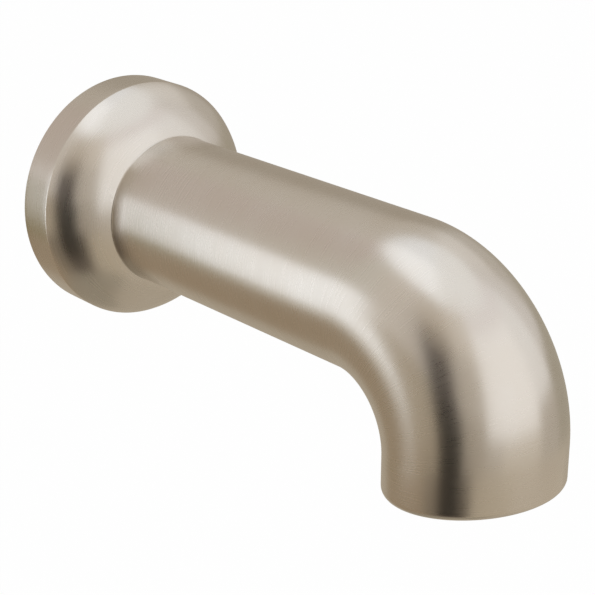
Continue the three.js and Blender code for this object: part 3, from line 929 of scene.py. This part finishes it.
# %% [markdown]
# ## The waterway
#
# A plastic elbow carries the water from the bushing to the mouth, so the brass casting never
# touches it. It slips over a nozzle at each end. Like the casting it is one sweep, out and
# back, but along a line of two straights and a round bend.

# %% Waterway
insert_lip, screen_depth, core_depth, washer_depth = 0.8, 0.4, 3.0, 1.8
collar_face = -collar_web / 2
lower_screen_base = collar_face + insert_lip + seat_gap
core_base = lower_screen_base + screen_depth + seat_gap
upper_screen_base = core_base + core_depth + seat_gap
insert_top = upper_screen_base + screen_depth + seat_gap
washer_base = insert_top + seat_gap
collar_shoulder = washer_base + washer_depth + seat_gap
hub_roof = 1.8
hub_top = collar_shoulder + hub_roof

waterway_bore, waterway_radius, waterway_bend = 8.0, 10.0, 24.0
socket_wall, socket_step, waterway_step = 2.2, 2.0, 0.2
socket_radius = socket_bore + socket_wall
outer_edge, inner_edge = 0.5, 0.4
outlet_axis_y = drop_centre - outlet_origin.z * math.tan(mouth_slope)
water_in, water_out = Vector((0, -1, 0)), -water_up
waterway_start = Vector((0, -bushing_face, 0))
waterway_end = outlet_origin + water_up * hub_top
waterway_corner = Vector((0, outlet_axis_y, 0))
waterway_turn = water_in.angle(water_out)
tangent_length = waterway_bend * math.tan(waterway_turn / 2)
first_straight = (waterway_corner - waterway_start).length - tangent_length
last_straight = (waterway_end - waterway_corner).length - tangent_length
waterway_length = first_straight + waterway_bend * waterway_turn + last_straight


def waterway_section(along, radius):
    """A round section across the waterway, some way along its middle line."""
    angle = min(max(along - first_straight, 0) / waterway_bend, waterway_turn)
    heading = Matrix.Rotation(angle, 3, "X") @ water_in
    outwards = Vector((0, heading.z, -heading.y))
    bend_centre = waterway_start + water_in * first_straight - Z_AXIS * waterway_bend
    middle = bend_centre + outwards * waterway_bend
    middle += heading * (along - first_straight - angle * waterway_bend)
    return ellipse(middle - outwards * radius, middle + outwards * radius, radius)


def waterway_skin(radius, end_radius, end_depth, edge):
    """Sections of one side of the elbow's wall, with a wider socket at each end."""
    near, far = seat_gap, waterway_length - seat_gap
    step, last_step = near + end_depth, far - end_depth
    places = [(near, end_radius - edge), (near + abs(edge), end_radius), (step, end_radius)]
    middle = spread(step + waterway_step, last_step - waterway_step, 36)
    places += [(along, radius) for along in middle]
    places += [(last_step, end_radius), (far - abs(edge), end_radius), (far, end_radius - edge)]
    return [waterway_section(along, width) for along, width in places]


elbow_outside = waterway_skin(waterway_radius, socket_radius,
                              nozzle_length + socket_step, outer_edge)
elbow_inside = waterway_skin(waterway_bore, socket_bore,
                             nozzle_length - waterway_step, -inner_edge)
elbow = swept(elbow_outside + elbow_inside[::-1], 96)
finish_piece(elbow, "waterway", "waterway_elbow", "spout", grey_plastic)
print(f"waterway {waterway_length:.1f} mm long")

# %% [markdown]
# ## The set screw
#
# A grub screw: a thread, a flat point that bites on the spigot, and a hexagon socket for the
# key. The threaded rod is kept in common with a turned blank, which gives the thread its
# run-out at both ends.

# %% Set screw
head_recess, head_edge, point_radius, blank_margin = 2.0, 0.6, 2.0, 0.1
key_across_flats, key_depth = 3.0, 3.5
screw_point_z, screw_head_z = -spigot_radius - seat_gap, -tube_radius + head_recess
blank_radius = set_screw_radius + blank_margin
screw_blank = upright(lathe([
    (0, screw_point_z), (point_radius, screw_point_z),
    (blank_radius, screw_point_z - (blank_radius - point_radius)),
    (blank_radius, screw_head_z + head_edge), (blank_radius - head_edge, screw_head_z),
    (0, screw_head_z),
], 64))
screw_thread = threaded_rod(set_screw_radius, set_screw_radius - screw_tooth, screw_pitch,
                            screw_head_z - PAST, screw_point_z + PAST)
key_corner = key_across_flats / 2 / math.cos(math.pi / 6)
key_socket = six_sided_bar(key_corner, screw_head_z - PAST, screw_head_z + key_depth)
screw = cut(combined(screw_thread, screw_blank, "INTERSECT"), key_socket)
finish_piece(moved(screw, set_screw_place), "grub_screw", "set_screw", "set_screw",
             dark_steel)

# %% [markdown]
# ## The collar in the mouth
#
# The collar is a plated brass ring, fixed a little way up inside the mouth. Water comes to it
# through a nozzle like the bushing's, and the insert screws into it from below. It is turned
# with too narrow a bore, which the thread and the washer's seat are then cut into.

# %% Collar
insert_radius, hub_wall, collar_fit_gap = 12.3, 2.8, 0.4
front_edge, web_edge, hub_edge = 0.5, 0.3, 0.4
collar_bore = insert_radius + seat_gap
hub_radius = collar_bore + hub_wall
web_radius = mouth_radius - wall - collar_fit_gap
blank_bore, blank_top = collar_bore - 0.4, collar_shoulder - 0.1
web_top = collar_face + collar_web
collar = upright(lathe([
    (collar_bore + entry_edge, collar_face), (web_radius - front_edge, collar_face),
    (web_radius, collar_face + front_edge), (web_radius, web_top - web_edge),
    (web_radius - web_edge, web_top), (hub_radius, web_top),
    (hub_radius, hub_top - hub_edge), (hub_radius - hub_edge, hub_top),
    *nozzle_outline(hub_top, 1), (nozzle_bore, blank_top),
    (blank_bore, blank_top), (blank_bore, collar_face + PAST),
], 144))
collar_thread = threaded_rod(collar_bore + screw_tooth, collar_bore, screw_pitch,
                             collar_face - PAST, insert_top + PAST, 96)
seal_seat = upright(rod(collar_bore, insert_top + PAST / 2, collar_shoulder, 96))
collar = moved(cut(collar, collar_thread, seal_seat), outlet)
finish_piece(collar, "outlet_collar", "mouth_collar", "spout", plated)

collar_seal = seal_ring(socket_bore - seal_gap, nozzle_groove + seal_gap,
                        hub_top + nozzle_length / 2)
finish_piece(moved(upright(collar_seal), outlet), "collar_seal", "collar_o_ring", "spout",
             black_seal)

# %% [markdown]
# ## The flow insert
#
# The insert is a small plastic cup with a thread outside and notches under it for a key.
# It holds a screen, a honeycomb that makes the water run straight, and a second screen. A
# flat washer on top seals it against the collar.

# %% Cup and washer
cup_wall, lip_width, cup_margin, cup_edge, cup_bore_edge = 1.7, 0.9, 0.5, 0.4, 0.2
foot_height, foot_edge, foot_overlap = 1.2, 0.3, 0.1
insert_bore = insert_radius - cup_wall
lip_bore = insert_bore - lip_width
cup_widest, cup_below = insert_radius + cup_margin, collar_face - cup_margin
cup = upright(lathe([
    (lip_bore, cup_below), (cup_widest, cup_below),
    (cup_widest, insert_top - cup_margin - cup_edge), (insert_radius - cup_edge, insert_top),
    (insert_bore + cup_bore_edge, insert_top), (insert_bore, insert_top - cup_bore_edge),
    (insert_bore, collar_face + insert_lip), (lip_bore, collar_face + insert_lip),
], 120))
foot_top = collar_face + foot_height
cup_thread = threaded_rod(insert_radius, insert_radius - screw_tooth, screw_pitch,
                          foot_top - foot_overlap, insert_top + PAST, 96)
cup_foot = upright(lathe([(0, collar_face), (insert_radius - foot_edge, collar_face),
                          (insert_radius, collar_face + foot_edge),
                          (insert_radius, foot_top), (0, foot_top)]))
cup = combined(cup, joined(cup_thread, cup_foot), "INTERSECT")
notch_depth, notch_width = 0.5, 3.0
for quarter in range(2):
    notch = bmesh.new()
    turn = Matrix.Rotation(quarter * math.pi / 2, 4, "Z")
    size = Matrix.Diagonal((4 * insert_radius, notch_width, 2 * notch_depth, 1))
    bmesh.ops.create_cube(notch, size=1,
                          matrix=Matrix.Translation((0, 0, collar_face)) @ turn @ size)
    cup = cut(cup, notch)
finish_piece(moved(cup, outlet), "insert_cup", "insert_housing", "flow_insert",
             white_plastic)

washer_bore, washer_rounding = 8.2, 0.25
washer_top = washer_base + washer_depth
washer = lathe([(washer_bore, washer_base), (insert_radius, washer_base),
                (insert_radius, washer_top), (washer_bore, washer_top)])
softened(washer, washer_rounding)
finish_piece(moved(upright(washer), outlet), "insert_washer", "insert_seal_washer",
             "flow_insert", black_seal)

# %% [markdown]
# ### The honeycomb
#
# The honeycomb is a moulded disc with rows of six-sided passages. All passages go into one
# cutting tool as separate bars, so a single cut makes them all.

# %% Honeycomb
disc_radius = insert_bore - seat_gap
cell_pitch, cell_wall, cell_rings, core_edge = 2.6, 0.5, 3, 0.2
core_top = core_base + core_depth


def cell_centres():
    centres = []
    for row in range(-cell_rings, cell_rings + 1):
        count = 2 * cell_rings + 1 - abs(row)
        height = row * cell_pitch * math.sin(math.pi / 3)
        centres += [((i - (count - 1) / 2) * cell_pitch, height) for i in range(count)]
    return centres


cell_corner = (cell_pitch - cell_wall) / math.sqrt(3)
passages = bmesh.new()
for x, y in cell_centres():
    bmesh.ops.create_cone(passages, cap_ends=True, segments=6, radius1=cell_corner,
                          radius2=cell_corner, depth=2 * core_depth,
                          matrix=Matrix.Translation((x, y, core_base + core_depth / 2)))
core = upright(lathe([
    (0, core_base), (disc_radius - core_edge, core_base), (disc_radius, core_base + core_edge),
    (disc_radius, core_top - core_edge), (disc_radius - core_edge, core_top), (0, core_top),
]))
core = cut(core, passages)
print(len(cell_centres()), "passages")
finish_piece(moved(core, outlet), "straightener", "straightener_core", "flow_insert",
             white_plastic)

# %% [markdown]
# ### The woven screens
#
# Real screens are woven, and a flat plate with holes would show it from up close. Each wire
# is a curve that goes over one crossing wire and under the next, and its bevel gives it
# thickness. A pressed rim holds the wires' ends.

# %% Screens
wire_pitch, wire_radius, wire_end = 0.9, 0.1, 0.2
screen_rim, screen_rounding = 0.8, 0.12
rim_inner = disc_radius - screen_rim


def woven_wires(middle):
    """All wires of a screen, as one bmesh, about a height."""
    curve = bpy.data.curves.new("wires", "CURVE")
    curve.dimensions = "3D"
    curve.bevel_depth = wire_radius
    curve.bevel_resolution = 1
    curve.use_fill_caps = True
    count = math.floor(rim_inner / wire_pitch)
    for crosswise in (False, True):
        for line in range(-count, count + 1):
            offset = line * wire_pitch
            half = math.sqrt((rim_inner + wire_end) ** 2 - offset ** 2)
            last = math.floor(half / wire_pitch)
            stops = [-half] + [i * wire_pitch for i in range(-last, last + 1)] + [half]
            wire = curve.splines.new("POLY")
            wire.points.add(len(stops) - 1)
            for point, along in zip(wire.points, stops):
                crossing = round(along / wire_pitch) + line + crosswise
                height = wire_radius * math.cos(math.pi * crossing)
                x, y = (offset, along) if crosswise else (along, offset)
                point.co = (x, y, middle + height, 1)
    holder = bpy.data.objects.new("wires", curve)
    bpy.context.scene.collection.objects.link(holder)
    depsgraph = bpy.context.evaluated_depsgraph_get()
    bm = bmesh.new()
    bm.from_mesh(holder.evaluated_get(depsgraph).to_mesh())
    bpy.data.objects.remove(holder)
    bpy.data.curves.remove(curve)
    return bm


def screen(base):
    bm = woven_wires(base + screen_depth / 2)
    rim = upright(softened(lathe([
        (rim_inner, base), (disc_radius, base),
        (disc_radius, base + screen_depth), (rim_inner, base + screen_depth),
    ]), screen_rounding, 2))
    mesh = bpy.data.meshes.new("rim")
    rim.to_mesh(mesh)
    rim.free()
    bm.from_mesh(mesh)
    bpy.data.meshes.remove(mesh)
    return bm


for name, node, base in (("lower_mesh", "lower_screen", lower_screen_base),
                         ("upper_mesh", "upper_screen", upper_screen_base)):
    finish_piece(moved(screen(base), outlet), name, node, "flow_insert",
                 wire_metal)

# %% [markdown]
# ## Studio: world and floor
#
# The faucet stands in a plain white room. To the camera, and in reflections, the world is
# white at a strength of 1. For everything else it is a softer light, to which the lamps add
# their share, so a colour comes out about as it is written. The floor lies well below, as it
# does under a spout on a wall, and takes a soft shadow.

# %% World and floor
def seen_directly(finish):
    """1 for rays from the camera, from reflections and through glass, else 0."""
    def kind(name):
        return finish.node("ShaderNodeLightPath", output=name)
    return kind("Is Camera Ray") + kind("Is Glossy Ray") + kind("Is Transmission Ray")


def background(finish, shade, strength):
    sockets = {"Color": shade, "Strength": strength}
    return finish.node("ShaderNodeBackground", None, sockets)


WHITE, CHALK = colour(1, 1, 1), colour(0.9, 0.9, 0.9)
room_light, floor_glow = 0.55, 0.985
floor_depth, floor_half = 1.35, 9

world = bpy.data.worlds.new("white_room")
bpy.context.scene.world = world
room = Finish(world)
dim, white = background(room, WHITE, room_light), background(room, WHITE, 1.0)
room.node("ShaderNodeOutputWorld", None, {"Surface": room.node(
    "ShaderNodeMixShader", None, {0: seen_directly(room), 1: dim, 2: white})})

floor_finish = new_finish("pale_floor")
glow = floor_finish.node("ShaderNodeEmission", None, {"Color": WHITE, "Strength": 1.0})
chalk = floor_finish.node("ShaderNodeBsdfDiffuse", None, {"Color": CHALK})
share = seen_directly(floor_finish) * floor_glow
floor_finish.node("ShaderNodeOutputMaterial", None, {"Surface": floor_finish.node(
    "ShaderNodeMixShader", None, {0: share, 1: chalk, 2: glow})})

floor_bm = bmesh.new()
bmesh.ops.create_grid(floor_bm, x_segments=1, y_segments=1, size=floor_half,
                      matrix=Matrix.Translation((0, 0, -floor_depth)))
floor = object_from(floor_bm, "floor")
floor.data.materials.append(floor_finish.owner)
print("floor", floor_depth, "m below the tube's axis")

# %% [markdown]
# ## Studio: cards for the metal
#
# Bare metal has no colour of its own to show. All that is seen on it is the room. A room
# that is white all round makes metal look like white plaster, so photographers hang cards
# round it: bright ones where a highlight should run, grey and tan ones beside them, and a
# narrow black one that draws the dark line down the side of the spout.
#
# Here a card is a patch of a large bowl round the faucet, made by spinning an upright arc.
# Only reflections see it: it gives no light to anything else and casts no shadow.

# %% Cards
bowl_centre = Vector((0, -reach / 2 * MM, 0))
bowl_radius = floor_depth - 0.1
card_rows, card_step = 10, 6


def card(name, left, right, low, high, shade):
    """A patch of the bowl. Angles are in degrees, and 0 is straight out from the wall."""
    bm = bmesh.new()
    arc = []
    for height in spread(math.radians(low), math.radians(high), card_rows):
        out = Matrix.Rotation(math.radians(left), 3, "Z") @ Vector((0, -math.cos(height), 0))
        arc.append(bm.verts.new((out + Z_AXIS * math.sin(height)) * bowl_radius))
    edges = [bm.edges.new(pair) for pair in zip(arc, arc[1:])]
    bmesh.ops.spin(bm, geom=arc + edges, cent=(0, 0, 0), axis=Z_AXIS, dvec=(0, 0, 0),
                   angle=math.radians(right - left), steps=math.ceil((right - left) / card_step),
                   use_merge=False, use_duplicate=False)
    patch = object_from(moved(bm, Matrix.Translation(bowl_centre)), name)
    paint = new_finish(name)
    glow = paint.node("ShaderNodeEmission", None, {"Color": colour(*shade), "Strength": 1.0})
    paint.node("ShaderNodeOutputMaterial", None, {"Surface": glow})
    patch.data.materials.append(paint.owner)
    patch.visible_camera = False
    patch.visible_diffuse = False
    patch.visible_transmission = False
    patch.visible_shadow = False


for name, left, right, low, high, shade in (
    ("ceiling_front", -60, 120, 58, 90, (1.03, 1.04, 1.04)),
    ("ceiling_back_right", 120, 180, 58, 90, (1.02, 1.05, 1.09)),
    ("ceiling_back_left", 180, 300, 58, 90, (1.27, 1.31, 1.36)),
    ("window", -33, 33, -8, 46, (1.13, 1.13, 1.13)),
    ("window_right", 33, 66, 0, 46, (1.00, 1.00, 1.00)),
    ("window_head", -33, 66, 46, 58, (0.92, 0.88, 0.88)),
    ("window_sill", -15, 33, -25, -8, (0.72, 0.66, 0.57)),
    ("sill_right", 33, 66, -25, 0, (0.55, 0.50, 0.43)),
    ("sill_left", -33, -15, -25, -8, (0.56, 0.51, 0.44)),
    ("grey_card_top", -60, -33, 30, 58, (0.76, 0.70, 0.62)),
    ("grey_card", -60, -33, 0, 30, (0.60, 0.55, 0.48)),
    ("grey_card_foot", -60, -33, -25, 0, (0.47, 0.42, 0.35)),
    ("black_bar", -88, -60, -45, 0, (0.0, 0.0, 0.0)),
    ("black_bar_top", -88, -64, 0, 25, (0.03, 0.02, 0.02)),
    ("beside_bar", -64, -60, 0, 25, (0.60, 0.55, 0.48)),
    ("bar_fade", -88, -60, 25, 36, (0.33, 0.28, 0.22)),
    ("bar_top", -88, -60, 36, 58, (0.62, 0.55, 0.46)),
    ("left_card", -120, -88, 5, 58, (0.74, 0.69, 0.63)),
    ("left_card_foot", -120, -88, -25, 5, (0.49, 0.42, 0.32)),
    ("bright_strip", -142, -120, -18, 16, (1.40, 1.45, 1.51)),
    ("strip_top", -142, -120, 16, 58, (0.67, 0.64, 0.57)),
    ("strip_foot", -142, -120, -25, -18, (0.77, 0.73, 0.66)),
    ("back_card", -180, -142, 5, 58, (0.62, 0.55, 0.50)),
    ("back_card_foot", -180, -142, -25, 5, (0.26, 0.21, 0.10)),
    ("back_right_top", 120, 180, 30, 58, (0.62, 0.57, 0.50)),
    ("back_right_card", 120, 180, -25, 30, (0.42, 0.37, 0.30)),
    ("right_card", 66, 90, 5, 58, (0.78, 0.75, 0.72)),
    ("right_card_top", 90, 120, 30, 58, (0.84, 0.81, 0.77)),
    ("right_card_side", 90, 120, 5, 30, (0.58, 0.54, 0.48)),
    ("right_card_foot", 66, 120, -25, 5, (0.44, 0.40, 0.32)),
    ("table_left", -180, -108, -60, -25, (0.38, 0.30, 0.21)),
    ("table_dark", -108, -88, -60, -25, (0.24, 0.20, 0.15)),
    ("table_under_bar", -88, -60, -60, -45, (0.08, 0.06, 0.05)),
    ("table_beside_bar", -60, -48, -60, -25, (0.10, 0.08, 0.06)),
    ("table_front", -48, 0, -60, -25, (0.56, 0.49, 0.38)),
    ("table_right", 0, 90, -60, -25, (0.60, 0.53, 0.43)),
    ("table_far_right", 90, 180, -60, -25, (0.50, 0.44, 0.35)),
    ("table_middle_right", 0, 150, -90, -60, (0.53, 0.47, 0.38)),
    ("table_middle", 150, 360, -90, -60, (0.37, 0.33, 0.26)),
):
    card(name, left, right, low, high, shade)

# %% [markdown]
# ## Studio: lamps and camera
#
# Two large, soft lamps light the plastics, the rubber and the floor. The metal doesn't show
# them, because its highlights are the cards'. The camera stands in front of the spout, to the
# left and above, and a long lens keeps the tube from tapering much.

# %% Lamps and camera
def lamp(name, place, size, power):
    light = bpy.data.lights.new(name, "AREA")
    light.shape = "SQUARE"
    light.size = size
    light.energy = power
    made = bpy.data.objects.new(name, light)
    made.location = place
    made.rotation_euler = (bowl_centre - made.location).to_track_quat("-Z", "Y").to_euler()
    made.visible_glossy = False
    bpy.context.scene.collection.objects.link(made)


lamp("key_lamp", Vector((-0.5, -0.8, 0.9)), 0.8, 9)
lamp("fill_lamp", Vector((0.9, -0.5, 0.4)), 0.8, 4)

aim = Vector((6.153, -79.018, -15.804)) * MM
turn, lift, distance = math.radians(-41.196), math.radians(21.506), 0.47
towards_camera = Vector((math.sin(turn) * math.cos(lift), -math.cos(turn) * math.cos(lift),
                         math.sin(lift)))
lens = bpy.data.cameras.new("camera")
lens.lens = 95.38
camera = bpy.data.objects.new("camera", lens)
camera.location = aim + towards_camera * distance
camera.rotation_euler = (-towards_camera).to_track_quat("-Z", "Y").to_euler()
bpy.context.scene.collection.objects.link(camera)
bpy.context.scene.camera = camera
bpy.context.scene.view_settings.view_transform = "Standard"
